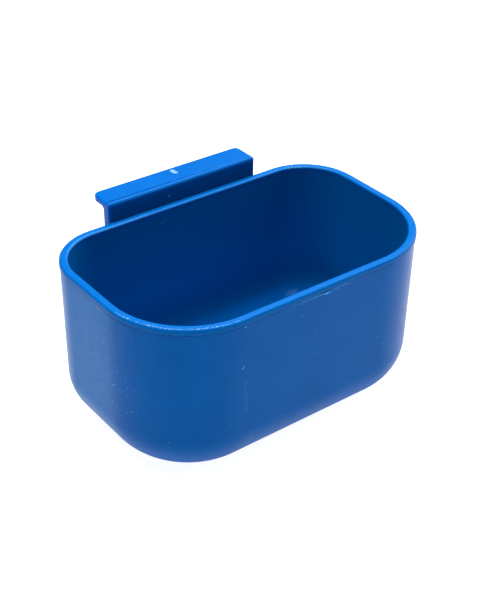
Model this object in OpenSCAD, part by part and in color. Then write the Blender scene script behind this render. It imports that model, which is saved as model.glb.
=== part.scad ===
// Small hook-on feed bucket: a rounded-rectangular moulded tub with a moulded
// hanger joined to the outside of its back wall.
// Units are millimetres. The origin is at the centre of the tub's outline, on
// the surface that it stands on: +X runs along its length, +Y to the hanger.

/* [Tub] */
// Length over the rim
tub_length = 140; // [120:1:200]
// Width over the rim, front to back
tub_width = 86.5; // [82:0.5:120]
// Height to the top of the rim
tub_height = 72; // [60:0.5:100]
// Outline radius of the two front corners
front_corner_r = 36; // [30:0.5:40]
// Outline radius of the two back corners
back_corner_r = 24; // [23:0.5:32]
// Outside radius where the walls curve into the floor
base_r = 21; // [12:0.5:21]
// Lean of every wall, in degrees from upright
draft = 0.4; // [0:0.1:1]
// Thickness of the walls
wall_t = 3.2; // [2.5:0.1:4]
// Thickness of the floor
floor_t = 3.2; // [2.5:0.1:4]

/* [Rim] */
// Height of the band above the parting line
rim_h = 2.3; // [1.5:0.1:4]
// How far the band stands out from the wall
rim_step = 0.3; // [0.1:0.1:1]
// Rounding of the rim's outer edge
rim_outer_r = 1; // [0.4:0.1:1.2]
// Rounding of the rim's inner edge
rim_inner_r = 0.9; // [0.3:0.1:1.2]

/* [Hanger] */
// Length of the hanger along the back wall
hanger_length = 73; // [50:1:80]
// Height of the hanger's top above the rim
hanger_rise = 8; // [6:0.5:20]
// Thickness of the upright plate
plate_t = 5; // [4:0.5:6]
// How far the plate reaches down the wall below the rim
plate_drop = 34; // [20:1:45]
// Depth of the flange, from the plate's front face to its back edge
flange_depth = 13; // [10:0.5:20]
// Thickness of the flange
flange_t = 3.4; // [2.8:0.1:4]
// Rounding of the flange's upper and lower edges
flange_edge_r = 1.2; // [0.4:0.1:1.2]
// Rounding of the plate's edges and of the hanger's front corners
plate_edge_r = 1.3; // [1.3:0.1:1.8]
// Outline radius of the flange's two back corners
flange_corner_r = 3; // [1.5:0.5:4]
// Radius of the plate's two lower corners
plate_corner_r = 6; // [2:0.5:10]
// Fillet between the plate and the underside of the flange
root_r = 1; // [0.5:0.1:2]

/* [Hidden] */
$fn = 96;
plastic_colour = "#0a63c4";
// Overrun of a cutting shape past the face that it cuts
cut = 1;

rim_t = wall_t + rim_step;
wall_top = tub_height - rim_h;
inner_base_r = base_r - wall_t;
back_y = tub_width / 2;
hanger_top = tub_height + hanger_rise;
plate_bottom = wall_top - plate_drop;

// Distance of the wall's outer face inside the rim's edge, at height z
function wall_inset(z) = rim_step + (wall_top - z) * tan(draft);

// Sections lie in the X-Y plane: X is the distance out from the outline's edge
// (so the material is at X < 0) and Y is the height.

// Everything inside a face that leans by the draft and passes through [x, z],
// above a flat bottom at height z0 that it curves into with radius r
module leaning_section(x, z, z0, r) {
    far = -tub_length;
    overrun = r + cut;
    centre = [x - (z - z0 - r) * tan(draft) - r / cos(draft), z0 + r];
    difference() {
        polygon([
            [far, z0], [x - (z - z0) * tan(draft), z0],
            [x + cut * tan(draft), z + cut], [far, z + cut]
        ]);
        translate(centre) difference() {
            polygon([
                [0, 0], [0, -overrun], [overrun, -overrun],
                [overrun * cos(draft), -overrun * sin(draft)]
            ]);
            circle(r);
        }
    }
}

// The corner left between a square edge and a rounding of radius r
module edge_waste(r) {
    difference() {
        square(r + cut);
        circle(r);
    }
}

// The tub's wall, rim and floor, as far in as a corner's centre
module tub_section() {
    difference() {
        union() {
            intersection() {
                leaning_section(-rim_step, wall_top, 0, base_r);
                translate([-tub_length, 0]) square([tub_length, wall_top]);
            }
            translate([-tub_length, wall_top]) square([tub_length, rim_h]);
        }
        leaning_section(-rim_t, tub_height, floor_t, inner_base_r);
        translate([-rim_outer_r, tub_height - rim_outer_r])
            edge_waste(rim_outer_r);
        translate([rim_inner_r - rim_t, tub_height - rim_inner_r])
            mirror([1, 0]) edge_waste(rim_inner_r);
    }
}

// A quarter turn of the section in children(), about a corner's centre
module corner_sweep(r, height) {
    rotate_extrude(angle = 90)
        intersection() {
            translate([r, 0]) children();
            square([r, height]);
        }
}

// A straight run of the section in children(), as deep as r, centred on Y
// and facing +X
module side_sweep(r, run, height) {
    translate([0, run / 2, 0]) rotate([90, 0, 0]) linear_extrude(run)
        intersection() {
            translate([r, 0]) children();
            square([r, height]);
        }
}

// Sweeps the section in children() round a rounded rectangle centred on the
// origin, with corner radii r_front at -Y and r_back at +Y; core_z gives the
// bottom and top of the solid middle
module sweep_outline(length, width, r_front, r_back, height, core_z) {
    front_c = [length / 2 - r_front, width / 2 - r_front];
    back_c = [length / 2 - r_back, width / 2 - r_back];
    side_r = min(r_front, r_back);
    side_run = width - r_front - r_back;
    for (side = [0, 1]) mirror([side, 0, 0]) {
        translate([front_c.x, -front_c.y, 0]) rotate([0, 0, -90])
            corner_sweep(r_front, height) children();
        translate([back_c.x, back_c.y, 0])
            corner_sweep(r_back, height) children();
        translate([length / 2 - side_r, (r_front - r_back) / 2, 0])
            side_sweep(side_r, side_run, height) children();
    }
    translate([0, -front_c.y, 0]) rotate([0, 0, -90])
        side_sweep(r_front, 2 * front_c.x, height) children();
    translate([0, back_c.y, 0]) rotate([0, 0, 90])
        side_sweep(r_back, 2 * back_c.x, height) children();
    translate([side_r - length / 2, -front_c.y, core_z[0]])
        cube([length - 2 * side_r, side_run, core_z[1] - core_z[0]]);
}

// Open tub with a flat floor and a rounded rim, moulded in one piece
module tub() {
    color(plastic_colour)
        sweep_outline(tub_length, tub_width, front_corner_r, back_corner_r,
                      tub_height, [0, floor_t])
            tub_section();
}

// Edge of a slab of thickness t, rounded above and below with radius r
module slab_section(t, r) {
    difference() {
        translate([-hanger_length, 0]) square([hanger_length, t]);
        translate([-r, t - r]) edge_waste(r);
        translate([-r, r]) mirror([0, 1]) edge_waste(r);
    }
}

// Flat shelf along the top that rests on a rail or board
module flange() {
    translate([0, back_y + flange_depth / 2, hanger_top - flange_t])
        sweep_outline(hanger_length, flange_depth, plate_edge_r, flange_corner_r,
                      flange_t, [0, flange_t])
            slab_section(flange_t, flange_edge_r);
}

// Upright plate that rises behind the rim and ends inside the flange
module plate() {
    plate_top = hanger_top - flange_t / 2;
    slab_h = plate_top - plate_bottom + plate_corner_r;
    difference() {
        translate([0, back_y + plate_t, plate_bottom + slab_h / 2]) rotate([90, 0, 0])
            sweep_outline(hanger_length, slab_h, plate_corner_r, plate_corner_r,
                          plate_t, [0, plate_t])
                slab_section(plate_t, plate_edge_r);
        translate([-hanger_length, back_y - cut, plate_top])
            cube([2 * hanger_length, plate_t + 2 * cut, plate_corner_r + cut]);
    }
}

// Front view of the bonding pad, inside the plate's rounded edges
module pad_face() {
    half = hanger_length / 2 - plate_edge_r;
    bottom = plate_bottom + plate_edge_r;
    corner_r = plate_corner_r - plate_edge_r;
    for (side = [-1, 1])
        translate([side * (half - corner_r), bottom + corner_r]) circle(corner_r);
    translate([corner_r - half, bottom])
        square([2 * (half - corner_r), wall_top - bottom]);
    translate([-half, bottom + corner_r])
        square([2 * half, wall_top - bottom - corner_r]);
}

// Raised pad that fills the space between the plate and the leaning wall
module bond_pad() {
    pad_back = back_y + plate_edge_r;
    intersection() {
        translate([0, pad_back, 0]) rotate([90, 0, 0]) linear_extrude(pad_back) pad_face();
        translate([-hanger_length / 2, 0, 0]) rotate([90, 0, 90])
            linear_extrude(hanger_length) polygon([
                [back_y - wall_inset(plate_bottom), plate_bottom],
                [back_y - wall_inset(wall_top), wall_top],
                [pad_back, wall_top],
                [pad_back, plate_bottom]
            ]);
    }
}

// Fillet under the flange, along the back of the plate
module root_fillet() {
    run = hanger_length - 2 * plate_edge_r;
    translate([-run / 2, back_y + plate_t, hanger_top - flange_t])
        rotate([90, 0, 90]) linear_extrude(run)
            difference() {
                translate([0, -root_r]) square(root_r);
                translate([root_r, -root_r]) circle(root_r);
            }
}

// Hanger: plate, flange and bonding pad, moulded in one piece
module hanger() {
    color(plastic_colour) {
        flange();
        plate();
        bond_pad();
        root_fillet();
    }
}

tub();
hanger();
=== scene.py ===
"""Looks of the small hook-on feed bucket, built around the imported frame. Lengths are in metres."""

import math

import bmesh
import bpy
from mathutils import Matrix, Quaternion, Vector, noise


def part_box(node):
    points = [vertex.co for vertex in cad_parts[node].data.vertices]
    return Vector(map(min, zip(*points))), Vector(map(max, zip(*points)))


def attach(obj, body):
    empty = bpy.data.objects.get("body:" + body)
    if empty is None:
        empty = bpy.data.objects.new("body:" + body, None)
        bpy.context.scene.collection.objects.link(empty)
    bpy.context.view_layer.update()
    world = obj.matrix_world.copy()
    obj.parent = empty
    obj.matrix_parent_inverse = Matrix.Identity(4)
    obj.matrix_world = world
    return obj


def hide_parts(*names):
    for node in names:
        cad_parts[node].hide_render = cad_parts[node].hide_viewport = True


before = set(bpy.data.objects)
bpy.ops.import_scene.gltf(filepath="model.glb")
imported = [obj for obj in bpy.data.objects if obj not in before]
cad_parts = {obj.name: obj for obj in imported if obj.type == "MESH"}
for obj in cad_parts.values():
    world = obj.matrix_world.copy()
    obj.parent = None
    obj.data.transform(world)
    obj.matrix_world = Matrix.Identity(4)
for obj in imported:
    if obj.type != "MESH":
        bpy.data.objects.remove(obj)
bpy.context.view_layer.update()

MM = 0.001

# ---------------------------------------------------------------- sizes
tub_low, tub_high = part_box("tub")
hanger_low, hanger_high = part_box("hanger")

LENGTH = tub_high.x - tub_low.x
WIDTH = tub_high.y - tub_low.y
HEIGHT = tub_high.z
FRONT_CORNER_R = 36 * MM
BACK_CORNER_R = 24 * MM
BASE_R = 21 * MM
WALL_T = 3.2 * MM
FLOOR_T = 3.2 * MM
DRAFT = math.radians(0.4)
RIM_H = 2.3 * MM
RIM_STEP = 0.3 * MM
RIM_OUTER_R = 1.0 * MM
RIM_INNER_R = 0.9 * MM
# The small round under the rim's band
RIM_LIP_R = 0.12 * MM
WALL_TOP = HEIGHT - RIM_H

BACK_Y = tub_high.y
HANGER_HALF = hanger_high.x
HANGER_TOP = hanger_high.z
PLATE_BOTTOM = hanger_low.z
PLATE_T = 5 * MM
PLATE_EDGE_R = 1.3 * MM
PLATE_CORNER_R = 6 * MM
FLANGE_T = 3.4 * MM
FLANGE_EDGE_R = 1.2 * MM
FLANGE_CORNER_R = 3 * MM
FLANGE_BACK = hanger_high.y
ROOT_R = 1 * MM

# Spacing of the stations round the outline, for the tub and for its flash
TUB_STATION = 0.8 * MM
FLASH_STATION = 0.3 * MM
# Edges that turn by more than this many degrees stay sharp, on the solid pieces and on the flash
SHARP_TURN = 35
FLASH_SHARP_TURN = 30
# The mould's parting line: a groove under the rim's band
GROOVE_H = 0.36 * MM
GROOVE_DEPTH = 0.08 * MM
# Where the mould's halves met badly on the front wall: the middle, half the length and the step
MISMATCH_X = 2 * MM
MISMATCH_HALF = 17 * MM
MISMATCH_DEPTH = 0.15 * MM
# The flash: its crest under the groove, its foot under the crest, how far it is rooted in the wall
FLASH_CREST = 0.30 * MM
FLASH_FOOT = 0.12 * MM
FLASH_ROOT = 0.08 * MM
# How far it stands out: all round, where the halves met badly, and in two torn flakes
FLASH_THREAD = 0.05 * MM
FLASH_RAGGED = 0.45 * MM
FLAKE_X, FLAKE_HALF, FLAKE_REACH = 3.4 * MM, 2.8 * MM, 1.1 * MM
SMALL_FLAKE_X, SMALL_FLAKE_HALF, SMALL_FLAKE_REACH = -9.3 * MM, 0.9 * MM, 0.6 * MM
# How far the rim's band wanders, and over what length
RIM_WANDER = 0.05 * MM
RIM_WANDER_LENGTH = 9 * MM
# The thin line left by the mould on the flange, behind its front edge
WITNESS_SETBACK = 1.9 * MM
WITNESS_WIDTH = 0.5 * MM
WITNESS_DEPTH = 0.32 * MM
# The trimmed gate: its place along the flange, its length across it, its distance from the back
GATE_X = 0.7 * MM
GATE_LENGTH = 5 * MM
GATE_BACK = 1.9 * MM
# A small chip in the plate's front face
PLATE_CHIP = Vector((-7.8 * MM, BACK_Y, 75.2 * MM))

# The UV map that holds places on the tub's skin
SKIN = "skin"


# ---------------------------------------------------------------- mesh helpers
def arc(centre, radius, start, end, steps):
    """Points of an arc in a plane, from start to end in degrees, both ends included."""
    points = []
    for i in range(steps + 1):
        a = math.radians(start + (end - start) * i / steps)
        points.append((centre[0] + radius * math.cos(a), centre[1] + radius * math.sin(a)))
    return points


def line(a, b, steps):
    """Points between a and b, with neither end."""
    run, rise = b[0] - a[0], b[1] - a[1]
    return [(a[0] + run * i / steps, a[1] + rise * i / steps) for i in range(1, steps)]


def wander(place, length, seed=0):
    """A smooth random number from -1 to 1 that changes over this length."""
    return noise.noise(place / length + Vector((seed, 0, 0)))


def bump_at(t, centre, half_width):
    """A smooth bump, 1 at the centre and 0 past the half width."""
    reach = abs(t - centre) / half_width
    return (1 - reach**2) ** 2 if reach < 1 else 0.0


def new_piece(name, bm, material, node=None):
    """Turns a bmesh into a piece that rides on the frame's one body."""
    bmesh.ops.recalc_face_normals(bm, faces=bm.faces)
    mesh = bpy.data.meshes.new(name)
    bm.to_mesh(mesh)
    bm.free()
    piece = bpy.data.objects.new(name, mesh)
    bpy.context.scene.collection.objects.link(piece)
    mesh.materials.append(material)
    for face in mesh.polygons:
        face.use_smooth = True
    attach(piece, "root")
    if node:
        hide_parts(node)
    return piece


def keep_flats_flat(piece):
    """Smooth rounded edges beside flat faces, and sharp edges where the surface turns sharply."""
    piece.data.set_sharp_from_angle(angle=math.radians(SHARP_TURN))
    modifier = piece.modifiers.new("weighted_normals", "WEIGHTED_NORMAL")
    modifier.keep_sharp = True
    modifier.weight = 100


def skin_rings(bm, rings):
    """Faces between neighbouring closed rings of vertices."""
    faces = []
    for a, b in zip(rings, rings[1:]):
        count = len(a)
        for i in range(count):
            j = (i + 1) % count
            faces.append(bm.faces.new((a[i], a[j], b[j], b[i])))
    return faces


# ---------------------------------------------------------------- tub
def outline(spacing):
    """Stations round the rim's outer edge, from the right end of the front wall.

    Each is (point, outward direction, distance along the edge from the middle of the front wall).
    """
    corners = (
        (LENGTH / 2 - FRONT_CORNER_R, FRONT_CORNER_R - WIDTH / 2, FRONT_CORNER_R, -90),
        (LENGTH / 2 - BACK_CORNER_R, WIDTH / 2 - BACK_CORNER_R, BACK_CORNER_R, 0),
        (BACK_CORNER_R - LENGTH / 2, WIDTH / 2 - BACK_CORNER_R, BACK_CORNER_R, 90),
        (FRONT_CORNER_R - LENGTH / 2, FRONT_CORNER_R - WIDTH / 2, FRONT_CORNER_R, 180),
    )
    stations = []
    travelled = LENGTH / 2 - FRONT_CORNER_R
    for n, (x, y, r, start) in enumerate(corners):
        sweep = r * math.pi / 2
        steps = round(sweep / spacing)
        for i in range(steps + 1):
            a = math.radians(start + 90 * i / steps)
            out = Vector((math.cos(a), math.sin(a), 0))
            stations.append((Vector((x, y, 0)) + r * out, out, travelled + sweep * i / steps))
        travelled += sweep
        here, out, _ = stations[-1]
        nx, ny, nr, nstart = corners[(n + 1) % 4]
        a = math.radians(nstart)
        there = Vector((nx, ny, 0)) + nr * Vector((math.cos(a), math.sin(a), 0))
        run = (there - here).length
        steps = round(run / spacing)
        for i in range(1, steps):
            stations.append((here.lerp(there, i / steps), out, travelled + run * i / steps))
        travelled += run
    return stations


def wall_inset(z):
    """Distance of the wall's outer face inside the rim's edge, at height z."""
    return RIM_STEP + (WALL_TOP - z) * math.tan(DRAFT)


def tub_profile():
    """The wall's section from the underside, over the rim, to the inside of the floor.

    Gives a list of (inset, height), and the places in it where the rim's band starts and ends.
    """
    lean = math.tan(DRAFT)
    lean_deg = math.degrees(DRAFT)
    base = (wall_inset(BASE_R) + BASE_R / math.cos(DRAFT), BASE_R)
    groove_foot = WALL_TOP - GROOVE_H
    outside = arc(base, BASE_R, -90, -180 + lean_deg, 22)
    outside += line(outside[-1], (wall_inset(groove_foot), groove_foot), 16)
    outside.append((wall_inset(groove_foot), groove_foot))
    groove_floor = RIM_STEP + GROOVE_DEPTH
    groove = [(groove_floor, groove_foot + 0.15 * GROOVE_H), (groove_floor, WALL_TOP)]
    band = arc((RIM_LIP_R, WALL_TOP + RIM_LIP_R), RIM_LIP_R, -90, -180, 3)
    band += line(band[-1], (0, HEIGHT - RIM_OUTER_R), 3)
    band += arc((RIM_OUTER_R, HEIGHT - RIM_OUTER_R), RIM_OUTER_R, 180, 90, 8)
    inner_top = RIM_STEP + WALL_T
    inner_edge = arc((inner_top - RIM_INNER_R, HEIGHT - RIM_INNER_R), RIM_INNER_R, 90, 0, 7)
    band += line(band[-1], inner_edge[0], 5) + inner_edge
    inner_r = BASE_R - WALL_T
    foot_z = FLOOR_T + inner_r
    foot = (inner_top + (HEIGHT - foot_z) * lean + inner_r / math.cos(DRAFT), foot_z)
    curve = arc((-foot[0], foot_z), inner_r, lean_deg, -90, 22)
    inside = [(-x, z) for x, z in curve]
    inside = line(inner_edge[-1], inside[0], 16) + inside
    rim_start = len(outside) + len(groove)
    return outside + groove + band + inside, rim_start, rim_start + len(band)


def on_front_wall(out):
    """Whether a station that faces this way lies on the flat front wall, or just beside it."""
    return out.y < -0.95


def mismatch(edge, out):
    """From 0 to 1, how badly the mould's halves met at this station."""
    return bump_at(edge.x, MISMATCH_X, MISMATCH_HALF) if on_front_wall(out) else 0.0


def skin_heights(profile, rim_start):
    """The distance along the section at each of its points, equal to the height at the rim's foot."""
    travelled = [0.0]
    for a, b in zip(profile, profile[1:]):
        travelled.append(travelled[-1] + math.dist(a, b))
    shift = WALL_TOP - travelled[rim_start]
    return [t + shift for t in travelled]


def build_tub(material):
    """The tub: its wall's section carried round the outline, with a flat floor inside and below.

    Its UV map holds two distances. The first runs round the outline from the middle of the front
    wall, positive to the right and negative to the left. The second runs along the section.
    """
    bm = bmesh.new()
    stations = outline(TUB_STATION)
    profile, rim_start, rim_end = tub_profile()
    rings = []
    for k, (inset, z) in enumerate(profile):
        on_rim = rim_start <= k < rim_end
        in_groove = rim_start - 2 <= k < rim_start
        ring = []
        for edge, out, _ in stations:
            place = edge - inset * out
            place.z = z
            if in_groove:
                place -= out * MISMATCH_DEPTH * mismatch(edge, out)
            if on_rim:
                place -= out * RIM_WANDER * abs(wander(edge, RIM_WANDER_LENGTH))
                place.z += RIM_WANDER / 2 * (wander(edge, RIM_WANDER_LENGTH, 7) - 0.5)
            ring.append(bm.verts.new(place))
        rings.append(ring)
    skin = bm.loops.layers.uv.new(SKIN)
    heights = skin_heights(profile, rim_start)
    count = len(stations)
    full_turn = stations[-1][2] + TUB_STATION - stations[0][2]
    for n, face in enumerate(skin_rings(bm, rings)):
        k, i = divmod(n, count)
        here = stations[i][2]
        there = stations[i + 1][2] if i + 1 < count else here + TUB_STATION
        back = full_turn if here >= full_turn / 2 else 0.0
        corners = ((here, k), (there, k), (there, k + 1), (here, k + 1))
        for loop, (distance, row) in zip(face.loops, corners):
            loop[skin].uv = (distance - back, heights[row])
    underside, floor = 0, -1
    for row in (underside, floor):
        for loop in bm.faces.new(rings[row]).loops:
            loop[skin].uv = (0, heights[row])
    tub = new_piece("tub_shell", bm, material, "tub")
    keep_flats_flat(tub)


def flash_reach(edge, out):
    """How far the flash stands out here: a faint thread, ragged and torn along the front wall."""
    reach = FLASH_THREAD * (1 + 0.7 * wander(edge, 2.5 * MM, 3))
    if on_front_wall(out):
        ragged = 0.55 + 0.45 * wander(edge, 0.8 * MM, 11)
        reach += FLASH_RAGGED * ragged * mismatch(edge, out)
        reach += FLAKE_REACH * ragged * bump_at(edge.x, FLAKE_X, FLAKE_HALF)
        reach += SMALL_FLAKE_REACH * bump_at(edge.x, SMALL_FLAKE_X, SMALL_FLAKE_HALF)
    return reach


def build_flash(material):
    """The thin ridge of flash on the wall, just under the parting line all round."""
    top = WALL_TOP - GROOVE_H
    crest = top - FLASH_CREST
    foot = crest - FLASH_FOOT
    bm = bmesh.new()
    rings = []
    for edge, out, _ in outline(FLASH_STATION):
        reach = flash_reach(edge, out)
        droop = 0.2 * reach * wander(edge, 3 * MM, 5)
        section = (
            (wall_inset(foot) + FLASH_ROOT, foot),
            (wall_inset(foot), foot),
            (wall_inset(crest) - reach, crest + droop),
            (wall_inset(crest) - 0.6 * reach, (crest + top + droop) / 2),
            (wall_inset(top), top),
            (wall_inset(top) + FLASH_ROOT, top),
        )
        places = [edge - inset * out + Vector((0, 0, z)) for inset, z in section]
        rings.append([bm.verts.new(place) for place in places])
    rings.append(rings[0])
    skin_rings(bm, rings)
    flash = new_piece("parting_flash", bm, material)
    flash.data.set_sharp_from_angle(angle=math.radians(FLASH_SHARP_TURN))


# ---------------------------------------------------------------- hanger
def hanger_section(x):
    """The hanger's L-shaped section at x, as (y, z) points; its ends and corners are rounded."""
    from_middle = abs(x)

    def pulled_in(radius):
        """How far a corner of this outline radius has drawn back at x."""
        over = max(0.0, from_middle - (HANGER_HALF - radius))
        return radius - math.sqrt(max(0.0, radius**2 - over**2))

    # How far the faces have drawn in, and the same round edges at full size and drawn in
    d = pulled_in(PLATE_EDGE_R)
    plate_r, flange_r = PLATE_EDGE_R, FLANGE_EDGE_R
    least_r = 0.02 * MM
    small_plate_r, small_flange_r = plate_r - d, max(flange_r - d, least_r)
    back = FLANGE_BACK - pulled_in(FLANGE_CORNER_R)
    bottom = PLATE_BOTTOM + pulled_in(PLATE_CORNER_R)
    underside = HANGER_TOP - FLANGE_T
    plate_back = BACK_Y + PLATE_T
    points = arc((BACK_Y + plate_r, HANGER_TOP - plate_r), small_plate_r, 90, 180, 8)
    points += line((BACK_Y + d, HANGER_TOP - plate_r), (BACK_Y + d, bottom + plate_r), 14)
    points += arc((BACK_Y + plate_r, bottom + plate_r), small_plate_r, 180, 270, 6)
    points += line((BACK_Y + plate_r, bottom + d), (plate_back - plate_r, bottom + d), 3)
    points += arc((plate_back - plate_r, bottom + plate_r), small_plate_r, 270, 360, 6)
    points += line((plate_back - d, bottom + plate_r), (plate_back - d, underside - ROOT_R), 14)
    points += arc((plate_back + ROOT_R, underside - ROOT_R), ROOT_R + d, 180, 90, 6)
    points += line((plate_back + ROOT_R, underside + d), (back - flange_r, underside + d), 4)
    points += arc((back - flange_r, underside + flange_r), small_flange_r, -90, 0, 6)
    points += line((back - d, underside + flange_r), (back - d, HANGER_TOP - flange_r), 2)
    points += arc((back - flange_r, HANGER_TOP - flange_r), small_flange_r, 0, 90, 6)

    # The mould's thin line in the top face, deepest at the left end
    here = Vector((x, 0, 0))
    witness = BACK_Y + WITNESS_SETBACK + 0.1 * MM * wander(here, 12 * MM)
    along = (x + HANGER_HALF) / (2 * HANGER_HALF)
    depth = WITNESS_DEPTH * (1 - 0.7 * along) * (0.8 + 0.4 * wander(here, 5 * MM, 9))
    top = HANGER_TOP - d
    groove_back = witness + WITNESS_WIDTH
    points += line((back - flange_r, top), (groove_back, top), 8)
    points += [(groove_back, top), (witness + 0.6 * WITNESS_WIDTH, top - depth), (witness, top)]
    return points


def build_hanger(material):
    """The hanger: its section carried along X, with stations close together at its rounded ends."""
    end = {0.0}
    for radius, steps in ((PLATE_EDGE_R, 6), (FLANGE_CORNER_R, 8), (PLATE_CORNER_R, 10)):
        for i in range(steps):
            end.add(round(radius * (1 - math.sin(math.pi / 2 * i / steps)), 7))
    middle_steps = 60
    half = HANGER_HALF - PLATE_CORNER_R
    right = sorted(HANGER_HALF - e for e in end)
    inner = [-half + 2 * half * i / middle_steps for i in range(1, middle_steps)]
    bm = bmesh.new()
    rings = []
    for x in [-r for r in reversed(right)] + inner + right:
        rings.append([bm.verts.new((x, y, z)) for y, z in hanger_section(x)])
    skin_rings(bm, rings)
    bm.faces.new(rings[0])
    bm.faces.new(rings[-1])
    hanger = new_piece("hanger_bar", bm, material, "hanger")
    keep_flats_flat(hanger)


def build_gate_mark(material, centre):
    """The stub left where the gate was trimmed off the flange: a low, torn, double lump."""
    # Each lump: its centre from the mark's own, half its width, half its length, and its height
    lumps = (
        (Vector((-0.1, 0.9)) * MM, 1.2 * MM, 1.6 * MM, 0.20 * MM),
        (Vector((0.2, -0.9)) * MM, 1.0 * MM, 1.5 * MM, 0.12 * MM),
    )
    around, outward = 40, 10
    half_width = 0.28 * GATE_LENGTH
    skirt = Vector((0, 0, 0.1 * MM))
    bm = bmesh.new()
    rings = []
    for k in range(1, outward + 1):
        share = k / outward
        ring = []
        for i in range(around):
            a = 2 * math.pi * i / around
            direction = Vector((math.cos(a) * half_width, math.sin(a) * GATE_LENGTH / 2, 0))
            flat = direction * share * (1 + 0.18 * wander(direction, 0.9 * MM, 21))
            height = 0.0
            for place, wide, long, tall in lumps:
                away = math.hypot((flat.x - place.x) / wide, (flat.y - place.y) / long)
                height = max(height, tall * max(0.0, 1 - away**2))
            height *= 1 + 0.5 * wander(flat, 0.5 * MM, 31)
            sunk = 0.04 * MM * share**4
            ring.append(bm.verts.new(centre + flat + Vector((0, 0, height - sunk))))
        rings.append(ring)
    rings.append([bm.verts.new(v.co - skirt) for v in rings[-1]])
    skin_rings(bm, rings)
    bm.faces.new(rings[0])
    bm.faces.new(rings[-1])
    new_piece("gate_mark", bm, material)


# ---------------------------------------------------------------- materials
DEEP_BLUE = (0.0, 0.090, 0.360, 1)
BLUE = (0.0, 0.100, 0.395, 1)
RIM_BLUE = (0.0, 0.112, 0.412, 1)
# A painted highlight for the rim's inner edge
EDGE_HIGHLIGHT_BLUE = (0.03, 0.19, 0.55, 1)
# Painted shade for the inside and low on its wall, and a painted pool of light on the inside floor
INSIDE_SHADE_BLUE = (0.0, 0.119, 0.335, 1)
LOW_WALL_SHADE_BLUE = (0.0, 0.100, 0.265, 1)
FLOOR_LIGHT_BLUE = (0.0, 0.148, 0.485, 1)
# Painted light for the hanger's left end
END_LIGHT_BLUE = (0.0, 0.115, 0.540, 1)
LIGHT_BLUE = (0.01, 0.13, 0.44, 1)
STREAK_BLUE = (0.0, 0.06, 0.27, 1)
# Painted shade for the plate's front
PLATE_SHADE_BLUE = (0.0, 0.082, 0.270, 1)
PIT_BLUE = (0.0, 0.03, 0.12, 1)
# Pale haze: a scuff, and painted sheen of reflected light
HAZE_AND_SHEEN = (0.08, 0.23, 0.52, 1)
# A painted sheen of light for the left wall
LEFT_WALL_SHEEN = (0.0, 0.145, 0.46, 1)
PALE = (0.12, 0.36, 0.74, 1)
WHITE = (0.33, 0.62, 0.95, 1)
TORN_BLUE = (0.10, 0.46, 1.0, 1)
TORN_WHITE = (0.30, 0.50, 1.0, 1)
# A low index and a blue tint keep the plastic's reflections as blue as they are in the photo
PLASTIC_IOR = 1.175
SHINE_TINT = (0.25, 0.6, 1.0, 1)


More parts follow.
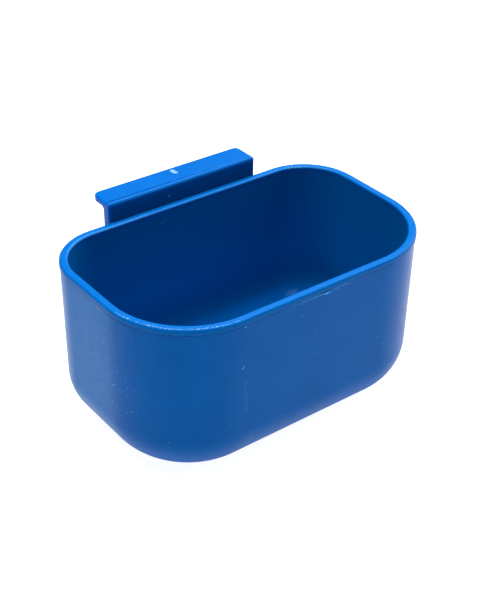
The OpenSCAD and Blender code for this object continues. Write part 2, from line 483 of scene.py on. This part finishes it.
class Shading:
    """Short calls for the nodes of one material."""

    def __init__(self, name):
        self.material = bpy.data.materials.new(name)
        self.material.use_nodes = True
        self.nodes = self.material.node_tree.nodes
        self.links = self.material.node_tree.links
        self.shader = self.nodes["Principled BSDF"]
        self.place = self.nodes.new("ShaderNodeTexCoord").outputs["Object"]
        self.fine = self.noise(0.9 * MM, 3.0, seed=1.0)
        self.cloudy = self.noise(2.2 * MM, 5.0, seed=5.0)

    def feed(self, socket, value):
        """Links a socket to another node's output, or sets a plain value."""
        if isinstance(value, bpy.types.NodeSocket):
            self.links.new(value, socket)
        else:
            socket.default_value = value

    def math(self, operation, a, b=0.0, clamp=False):
        """One Math node."""
        node = self.nodes.new("ShaderNodeMath")
        node.operation = operation
        node.use_clamp = clamp
        self.feed(node.inputs[0], a)
        self.feed(node.inputs[1], b)
        return node.outputs[0]

    def vector(self, operation, a, b=None, factor=None):
        """One Vector Math node."""
        node = self.nodes.new("ShaderNodeVectorMath")
        node.operation = operation
        self.feed(node.inputs[0], a)
        if b is not None:
            self.feed(node.inputs[1], b)
        if factor is not None:
            self.feed(node.inputs["Scale"], factor)
        gives_number = operation in ("LENGTH", "DISTANCE", "DOT_PRODUCT")
        return node.outputs["Value" if gives_number else "Vector"]

    def ramp(self, value, low, high, at_low=0.0, at_high=1.0):
        """value from low to high, spread smoothly over at_low to at_high and held past them."""
        node = self.nodes.new("ShaderNodeMapRange")
        node.interpolation_type = "SMOOTHSTEP"
        for socket, entry in zip(node.inputs, (value, low, high, at_low, at_high)):
            self.feed(socket, entry)
        return node.outputs["Result"]

    def noise(self, size, detail=3.0, where=None, seed=0.0):
        """Noise with features of about this size, in metres."""
        node = self.nodes.new("ShaderNodeTexNoise")
        node.noise_dimensions = "4D"
        node.inputs["W"].default_value = seed
        node.inputs["Scale"].default_value = 1 / size
        node.inputs["Detail"].default_value = detail
        self.feed(node.inputs["Vector"], where or self.place)
        return node.outputs["Fac"]

    def mix(self, factor, a, b):
        """Colour a where factor is 0, b where it is 1."""
        node = self.nodes.new("ShaderNodeMix")
        node.data_type = "RGBA"
        # The node's sockets for numbers and vectors come between these, so places tell them apart
        number_factor, colour_a, colour_b = node.inputs[0], node.inputs[6], node.inputs[7]
        colour_result = node.outputs[2]
        self.feed(number_factor, factor)
        self.feed(colour_a, a)
        self.feed(colour_b, b)
        return colour_result

    def scaled(self, mask, share):
        """A mask at part of its strength."""
        return self.math("MULTIPLY", mask, share)

    def both(self, a, b):
        """Two masks multiplied, strong only where both are."""
        return self.math("MULTIPLY", a, b)

    def strongest(self, masks):
        """The largest of several masks at each point."""
        result = masks[0]
        for mask in masks[1:]:
            result = self.math("MAXIMUM", result, mask)
        return result

    def band(self, value, low, high, soft):
        """1 where value lies from low to high, falling to 0 within soft outside it."""
        rise = self.ramp(value, low - soft, low)
        fall = self.ramp(value, high, high + soft, 1.0, 0.0)
        return self.both(rise, fall)

    def specks(self, cell, share, size, where=None):
        """Small round specks of about this radius, in a share of the cells of this spacing.

        They lie in the plane of a UV map, if where gives one, or else all through the piece.
        """
        node = self.nodes.new("ShaderNodeTexVoronoi")
        node.voronoi_dimensions = "2D" if where else "3D"
        node.inputs["Scale"].default_value = 1 / cell
        self.feed(node.inputs["Vector"], where or self.place)
        away = self.math("MULTIPLY", node.outputs["Distance"], cell)
        parts = self.nodes.new("ShaderNodeSeparateColor")
        self.feed(parts.inputs["Color"], node.outputs["Color"])
        chosen = self.math("LESS_THAN", parts.outputs["Red"], share)
        dot = self.ramp(away, 0.4 * size, size, 1.0, 0.0)
        varied = self.both(dot, self.ramp(parts.outputs["Green"], 0.0, 1.0, 0.35, 1.0))
        return self.both(varied, chosen)

    def scratch(self, skin, a, b, width, torn):
        """A straight scratch from a to b on the skin, more broken up the more it is torn."""
        start = Vector((a[0], a[1], 0))
        span = Vector((b[0], b[1], 0)) - start
        from_start = self.vector("SUBTRACT", skin, start)
        reached = self.vector("DOT_PRODUCT", from_start, span)
        along = self.math("DIVIDE", reached, span.length_squared, clamp=True)
        away = self.vector("DISTANCE", from_start, self.vector("SCALE", span, factor=along))
        core = self.ramp(away, 0.35 * width, width, 1.0, 0.0)
        threshold = 0.25 + 0.4 * torn
        broken = self.ramp(self.fine, threshold, threshold + 0.2)
        return self.both(core, broken)

    def smudge(self, skin, centre, half):
        """A soft cloudy patch on the skin, with half its size each way."""
        off = self.vector("SUBTRACT", skin, Vector((centre[0], centre[1], 0)))
        share = self.vector("LENGTH", self.vector("DIVIDE", off, Vector((half[0], half[1], 1))))
        inside = self.ramp(share, 0.25, 1.0, 1.0, 0.0)
        return self.both(inside, self.ramp(self.cloudy, 0.38, 0.68))

    def finish(self, colour, roughness, layers):
        """Feeds the shader; each bump layer is a height from 0 to 1 and its depth in metres."""
        self.feed(self.shader.inputs["Base Color"], colour)
        self.feed(self.shader.inputs["Roughness"], roughness)
        normal = None
        for height, depth in layers:
            node = self.nodes.new("ShaderNodeBump")
            node.inputs["Strength"].default_value = 1.0
            node.inputs["Distance"].default_value = depth
            self.feed(node.inputs["Height"], height)
            if normal:
                self.feed(node.inputs["Normal"], normal)
            normal = node.outputs["Normal"]
        self.feed(self.shader.inputs["Normal"], normal)
        return self.material


def moulded_blue(name):
    """Blue moulded plastic with a satin skin: uneven pigment, fine grain and light handling haze.

    Gives the shading, colour, roughness and bump layers, for a piece to add its own marks to.
    """
    s = Shading(name)
    s.shader.inputs["IOR"].default_value = PLASTIC_IOR
    s.shader.inputs["Specular Tint"].default_value = SHINE_TINT
    cloud = s.ramp(s.noise(16 * MM, 4.0), 0.3, 0.7)
    grain = s.ramp(s.noise(0.5 * MM, 2.0, seed=4.0), 0.35, 0.75)
    haze = s.ramp(s.noise(7 * MM, 6.0, seed=9.0), 0.50, 0.78)
    colour = s.mix(s.scaled(grain, 0.1), s.mix(cloud, DEEP_BLUE, BLUE), LIGHT_BLUE)
    roughness = s.math("ADD", s.scaled(cloud, 0.06), s.scaled(haze, 0.03))
    roughness = s.math("ADD", roughness, 0.28)
    sunk = s.noise(28 * MM, 1.0, seed=2.0)
    return s, colour, roughness, [(sunk, 0.12 * MM), (grain, 0.004 * MM)]


def tub_plastic():
    """The tub's plastic, with the marks of use where this tub has them and painted light and shade,
    placed on its skin.
    """
    s, colour, roughness, layers = moulded_blue("tub_blue")
    uv = s.nodes.new("ShaderNodeUVMap")
    uv.uv_map = SKIN
    skin = uv.outputs["UV"]
    parts = s.nodes.new("ShaderNodeSeparateXYZ")
    s.feed(parts.inputs["Vector"], skin)
    round_edge, up = parts.outputs["X"], parts.outputs["Y"]
    profile, rim_start, rim_end = tub_profile()
    heights = skin_heights(profile, rim_start)
    # Along the skin: where the rim's outer edge has turned into its top, and where its band ends
    top_start = WALL_TOP + 2.9 * MM
    rim_head = heights[rim_end - 1]

    def inside_at(z):
        """The skin's second coordinate on the inner wall at height z."""
        row = min(range(rim_end, len(profile)), key=lambda k: abs(profile[k][1] - z))
        return heights[row] + profile[row][1] - z

    # Painted light and shade inside: the inside is tinted greener and darker as painted shade, darker
    # still low on the wall as painted shade, and brightest on the floor as a painted pool of light
    inside = s.ramp(up, rim_head, rim_head + 2 * MM)
    colour = s.mix(s.scaled(inside, 0.9), colour, INSIDE_SHADE_BLUE)
    low_wall_shade = s.ramp(up, inside_at(34 * MM), inside_at(19 * MM), 0.0, 0.8)
    colour = s.mix(low_wall_shade, colour, LOW_WALL_SHADE_BLUE)
    floor_light = s.ramp(up, inside_at(16 * MM), inside_at(9.5 * MM), 0.0, 0.9)
    colour = s.mix(floor_light, colour, FLOOR_LIGHT_BLUE)

    # The rim is a little brighter, with streaks that run along it
    on_rim = s.band(up, WALL_TOP, rim_head, 0.1 * MM)
    colour = s.mix(s.scaled(on_rim, 0.9), colour, RIM_BLUE)
    slow = s.vector("MULTIPLY", s.place, Vector((0.06, 0.06, 0.0)))
    across = s.nodes.new("ShaderNodeCombineXYZ")
    s.feed(across.inputs["Z"], up)
    along_rim = s.vector("ADD", slow, across.outputs["Vector"])
    streak = s.ramp(s.noise(0.35 * MM, 2.0, where=along_rim, seed=6.0), 0.42, 0.66)
    streaks = s.both(streak, on_rim)
    colour = s.mix(s.scaled(streaks, 0.22), colour, STREAK_BLUE)

    # A painted highlight along the rim's inner edge at the back, strongest at its left end
    ragged = s.noise(0.6 * MM, 2.0, seed=12.0)
    inner_edge = s.band(up, rim_head - 1.3 * MM, rim_head - 0.4 * MM, 0.2 * MM)
    at_back = s.ramp(s.math("ABSOLUTE", round_edge), 112 * MM, 140 * MM, 0.0, 0.55)
    edge_highlight = s.strongest([at_back, s.band(round_edge, -178 * MM, -140 * MM, 12 * MM)])
    edge_highlight = s.both(edge_highlight, s.ramp(ragged, 0.3, 0.7, 0.6, 1.0))
    colour = s.mix(s.both(edge_highlight, inner_edge), colour, EDGE_HIGHLIGHT_BLUE)

    # Painted highlights in white: broken glints on the outer edge at the front left and on the inner
    # edge at the back right corner. Nicks worn white all round the outer edge
    outer_edge = s.band(up, top_start - 0.3 * MM, top_start + 0.05 * MM, 0.12 * MM)
    outer_edge_glints = s.both(outer_edge, s.band(round_edge, -82 * MM, -39 * MM, 5 * MM))
    inner_edge_glints = s.both(inner_edge, s.band(round_edge, 143 * MM, 148 * MM, 3 * MM))
    painted_glints = s.strongest([outer_edge_glints, s.scaled(inner_edge_glints, 0.5)])
    painted_glints = s.both(s.ramp(ragged, 0.50, 0.62), painted_glints)
    nicked = s.both(s.ramp(ragged, 0.70, 0.76, 0.0, 0.4), outer_edge)
    glints_and_nicks = s.strongest([painted_glints, nicked])
    colour = s.mix(s.scaled(glints_and_nicks, 0.7), colour, WHITE)

    # The parting line's lower lip, whitened here and there on the front left corner
    groove_foot = WALL_TOP - GROOVE_H
    lip = s.band(up, groove_foot - 0.35 * MM, groove_foot - 0.1 * MM, 0.12 * MM)
    whitened_lip = s.both(lip, s.band(round_edge, -74 * MM, -50 * MM, 5 * MM))
    whitened_lip = s.both(whitened_lip, s.ramp(s.fine, 0.42, 0.6, 0.0, 0.7))
    colour = s.mix(whitened_lip, colour, PALE)

    # A cloudy painted sheen of light on the left wall
    left_wall_sheen = s.ramp(s.cloudy, 0.2, 0.8, 0.5, 0.9)
    left_wall_sheen = s.both(s.band(round_edge, -150 * MM, -98 * MM, 14 * MM), left_wall_sheen)
    left_wall_sheen = s.both(left_wall_sheen, s.band(up, 0.0, WALL_TOP, MM))
    colour = s.mix(left_wall_sheen, colour, LEFT_WALL_SHEEN)

    # Dust: a few specks all over the outside, and many down the front left corner
    corner = s.band(round_edge, -92 * MM, -79 * MM, 4 * MM)
    corner = s.both(corner, s.band(up, 30 * MM, 62 * MM, 5 * MM))
    fine_dust = s.specks(2.2 * MM, 0.4, 0.20 * MM, skin)
    coarse_dust = s.specks(4.3 * MM, 0.3, 0.32 * MM, skin)
    thick = s.both(s.strongest([fine_dust, coarse_dust]), corner)
    thin = s.both(s.specks(8 * MM, 0.1, 0.26 * MM, skin), s.band(up, 0.0, 66 * MM, MM))
    dust = s.strongest([thick, thin])
    colour = s.mix(s.scaled(dust, 0.6), colour, WHITE)

    # Scuffs on the front wall and the front left corner, then two scratches inside the back wall,
    # one of them bent. Each: its two ends, half its width, how torn it is, and its strength
    high_start = (-189 * MM, inside_at(66.5 * MM))
    high_end = (-186.2 * MM, inside_at(65.9 * MM))
    bend = (186.5 * MM, inside_at(44.8 * MM))
    scratches = (
        ((-34.3 * MM, 68.3 * MM), (-33.8 * MM, 68.4 * MM), 0.35 * MM, 0.0, 0.8),
        ((-34.9 * MM, 50.1 * MM), (-34.2 * MM, 51 * MM), 0.32 * MM, 0.0, 1.0),
        ((-33.4 * MM, 45 * MM), (-32.6 * MM, 29 * MM), 1.0 * MM, 0.45, 0.15),
        ((-88.8 * MM, 37.4 * MM), (-87.8 * MM, 38.4 * MM), 0.35 * MM, 0.1, 0.8),
        ((35.2 * MM, 33 * MM), (35.9 * MM, 31.6 * MM), 0.3 * MM, 0.2, 0.3),
        (high_start, high_end, 0.22 * MM, 0.1, 0.6),
        ((188.5 * MM, inside_at(48.8 * MM)), bend, 0.22 * MM, 0.3, 0.3),
        (bend, (184.7 * MM, inside_at(41.5 * MM)), 0.22 * MM, 0.3, 0.3),
    )
    marks = s.strongest([
        s.scaled(s.scratch(skin, start, end, width, torn), strength)
        for start, end, width, torn, strength in scratches
    ])
    colour = s.mix(s.scaled(marks, 0.9), colour, PALE)

    # A painted reflection: a pale streak of light inside, low in the back right corner
    reflection_start = (141 * MM, inside_at(10.4 * MM))
    reflection_end = (148 * MM, inside_at(9.6 * MM))
    corner_reflection = s.scratch(skin, reflection_start, reflection_end, 1.6 * MM, 0.0)
    colour = s.mix(s.scaled(corner_reflection, 0.25), colour, PALE)

    # Cloudy pale patches: a scuff under the rim at the left, and painted sheen of reflected light
    # down the wall at the left, near the base in front, and round the painted reflection inside.
    # Each: its centre, half its size each way, and its strength
    hazes = (
        ((-98 * MM, 68.3 * MM), (11 * MM, 1.6 * MM), 0.5),
        ((-101 * MM, 42 * MM), (15 * MM, 30 * MM), 0.14),
        ((-30 * MM, 16 * MM), (5 * MM, 4 * MM), 0.2),
        ((144 * MM, inside_at(9 * MM)), (10 * MM, 2.4 * MM), 1.0),
    )
    sheen_and_scuffs = s.strongest([
        s.scaled(s.smudge(skin, centre, half), strength) for centre, half, strength in hazes
    ])
    colour = s.mix(sheen_and_scuffs, colour, HAZE_AND_SHEEN)

    # A small dark pit in the left wall
    pit_place = Vector((-115.5 * MM, 34.8 * MM, 0))
    pit = s.ramp(s.vector("DISTANCE", skin, pit_place), 0.15 * MM, 0.35 * MM, 1.0, 0.0)
    colour = s.mix(s.scaled(pit, 0.7), colour, PIT_BLUE)

    # Rougher where it is marked, and towards the base, which slides on shelves
    marked = s.strongest([glints_and_nicks, marks, dust])
    roughness = s.math("ADD", roughness, s.ramp(up, 0.0, 18 * MM, 0.32, 0.0))
    roughness = s.math("ADD", roughness, s.scaled(marked, 0.3))
    layers.append((streaks, 0.008 * MM))
    layers.append((s.math("SUBTRACT", marked, pit), 0.05 * MM))
    return s.finish(colour, roughness, layers)


def hanger_plastic():
    """The hanger's plastic, with painted shade on its front and in the mould's thin line, painted
    light on its left end, a chip, faint streaks and dust.
    """
    s, colour, roughness, layers = moulded_blue("hanger_blue")
    parts = s.nodes.new("ShaderNodeSeparateXYZ")
    s.feed(parts.inputs["Vector"], s.place)
    x, y, z = parts.outputs

    # Painted shade darkens the plate's front
    below_edge = s.ramp(z, HANGER_TOP - FLANGE_T, HANGER_TOP - PLATE_EDGE_R, 0.8, 0.0)
    in_front = s.ramp(y, BACK_Y + 0.5 * MM, BACK_Y + 2 * MM, 1.0, 0.0)
    colour = s.mix(s.both(below_edge, in_front), colour, PLATE_SHADE_BLUE)

    # Painted shade darkens the mould's thin line in the top face, fading to the right
    on_top = s.ramp(z, HANGER_TOP - FLANGE_EDGE_R, HANGER_TOP - 0.4 * MM)
    witness_y = BACK_Y + WITNESS_SETBACK
    in_line = s.band(y, witness_y, witness_y + WITNESS_WIDTH, 0.12 * MM)
    fading = s.ramp(x, -HANGER_HALF, HANGER_HALF, 0.9, 0.25)
    fading = s.both(fading, s.ramp(s.cloudy, 0.35, 0.55))
    witness = s.both(s.both(on_top, in_line), fading)
    colour = s.mix(witness, colour, STREAK_BLUE)

    # Painted light brightens the left end, and the plate has a small chip
    left_end_light = s.ramp(x, 0.4 * MM - HANGER_HALF, 1.4 * MM - HANGER_HALF, 0.9, 0.0)
    colour = s.mix(left_end_light, colour, END_LIGHT_BLUE)
    chip = s.ramp(s.vector("DISTANCE", s.place, PLATE_CHIP), 0.25 * MM, 0.6 * MM, 1.0, 0.0)
    colour = s.mix(s.scaled(chip, 0.7), colour, PALE)

    # Faint streaks drawn out along the bar, and dust
    drawn_out = s.vector("MULTIPLY", s.place, Vector((0.08, 1.0, 1.0)))
    drawn = s.ramp(s.noise(0.8 * MM, 3.0, where=drawn_out, seed=8.0), 0.5, 0.72)
    colour = s.mix(s.scaled(drawn, 0.16), colour, LIGHT_BLUE)
    dust = s.specks(5 * MM, 0.25, 0.26 * MM)
    colour = s.mix(s.scaled(dust, 0.6), colour, PALE)
    roughness = s.math("ADD", roughness, s.scaled(drawn, 0.05))
    layers.append((drawn, 0.008 * MM))
    layers.append((dust, 0.05 * MM))
    return s.finish(colour, roughness, layers)


def torn_plastic(name, torn_colour, middle, reach, share):
    """Blue plastic, paler where it was torn: by up to share at the middle, fading out at reach."""
    s, colour, roughness, layers = moulded_blue(name)
    near = s.ramp(s.vector("DISTANCE", s.place, middle), 0.5 * reach, reach, share, 0.0)
    whitened = s.both(s.ramp(s.fine, 0.25, 0.55), near)
    colour = s.mix(whitened, colour, torn_colour)
    roughness = s.math("ADD", roughness, s.scaled(whitened, 0.25))
    layers.append((s.fine, 0.02 * MM))
    return s.finish(colour, roughness, layers)


# ---------------------------------------------------------------- stage
# How brightly the floor and the backdrop glow in the picture, and how little the backdrop lights
PALE_GLOW = 0.95
BACKDROP_LIGHT = 0.02
# Half the side of the floor
FLOOR_HALF = 30


def add_floor():
    """A plain pale floor."""
    bm = bmesh.new()
    bmesh.ops.create_grid(bm, x_segments=1, y_segments=1, size=FLOOR_HALF)
    mesh = bpy.data.meshes.new("floor")
    bm.to_mesh(mesh)
    bm.free()
    floor = bpy.data.objects.new("floor", mesh)
    bpy.context.scene.collection.objects.link(floor)
    material = bpy.data.materials.new("pale_floor")
    material.use_nodes = True
    shader = material.node_tree.nodes["Principled BSDF"]
    shader.inputs["Base Color"].default_value = (0.33, 0.33, 0.33, 1)
    shader.inputs["Roughness"].default_value = 0.9
    shader.inputs["Specular IOR Level"].default_value = 0.0
    shader.inputs["Emission Color"].default_value = (1, 1, 1, 1)
    shader.inputs["Emission Strength"].default_value = PALE_GLOW
    mesh.materials.append(material)


def add_backdrop():
    """A white world, pale where the camera sees it and almost dark as a light."""
    world = bpy.data.worlds.new("studio")
    bpy.context.scene.world = world
    world.use_nodes = True
    nodes, links = world.node_tree.nodes, world.node_tree.links
    background = nodes["Background"]
    background.inputs["Color"].default_value = (1, 1, 1, 1)
    seen = nodes.new("ShaderNodeMapRange")
    light_path = nodes.new("ShaderNodeLightPath")
    links.new(light_path.outputs["Is Camera Ray"], seen.inputs["Value"])
    seen.inputs["To Min"].default_value = BACKDROP_LIGHT
    seen.inputs["To Max"].default_value = PALE_GLOW
    links.new(seen.outputs["Result"], background.inputs["Strength"])


def add_softbox(name, place, aim, size, power):
    """A rectangular soft light at place, facing aim."""
    light = bpy.data.lights.new(name, "AREA")
    light.shape = "RECTANGLE"
    light.size, light.size_y = size
    light.energy = power
    lamp = bpy.data.objects.new(name, light)
    lamp.location = place
    lamp.rotation_euler = (Vector(aim) - Vector(place)).to_track_quat("-Z", "Y").to_euler()
    bpy.context.scene.collection.objects.link(lamp)


def add_camera():
    """A camera looking down on the tub from the front left."""
    azimuth, elevation, roll = (math.radians(a) for a in (-37.69, 33.31, 1.04))
    distance = 0.5121
    aim = Vector((10.15, 17.75, 30.82)) * MM
    back = Vector((
        math.sin(azimuth) * math.cos(elevation),
        -math.cos(azimuth) * math.cos(elevation),
        math.sin(elevation),
    ))
    data = bpy.data.cameras.new("camera")
    data.lens = 72.66
    camera = bpy.data.objects.new("camera", data)
    camera.location = aim + distance * back
    camera.rotation_mode = "QUATERNION"
    camera.rotation_quaternion = Quaternion(back, roll) @ back.to_track_quat("Z", "Y")
    bpy.context.scene.collection.objects.link(camera)
    bpy.context.scene.camera = camera


bpy.context.scene.view_settings.view_transform = "Standard"
add_camera()
add_backdrop()
add_floor()
add_softbox("overhead", (-0.05, 0.25, 1.1), (0, 0, 0), (1.0, 0.5), 20)
add_softbox("back_right", (0.5, 0.4, 0.9), (0, 0, 0), (0.6, 0.6), 5)
add_softbox("right", (1.0, 0, 0.6), (0, 0, 0), (0.8, 0.8), 7)
add_softbox("front", (0, -0.5, 1.0), (0, 0, 0), (0.6, 0.6), 2.5)

build_tub(tub_plastic())
mismatch_middle = Vector((MISMATCH_X, tub_low.y, WALL_TOP))
build_flash(torn_plastic("flash_blue", TORN_BLUE, mismatch_middle, MISMATCH_HALF, 1.0))
build_hanger(hanger_plastic())
gate = Vector((GATE_X, FLANGE_BACK - GATE_BACK - GATE_LENGTH / 2, HANGER_TOP))
torn_end = gate + Vector((0, 0.35 * GATE_LENGTH, 0))
build_gate_mark(torn_plastic("gate_white", TORN_WHITE, torn_end, 0.9 * GATE_LENGTH, 0.7), gate)
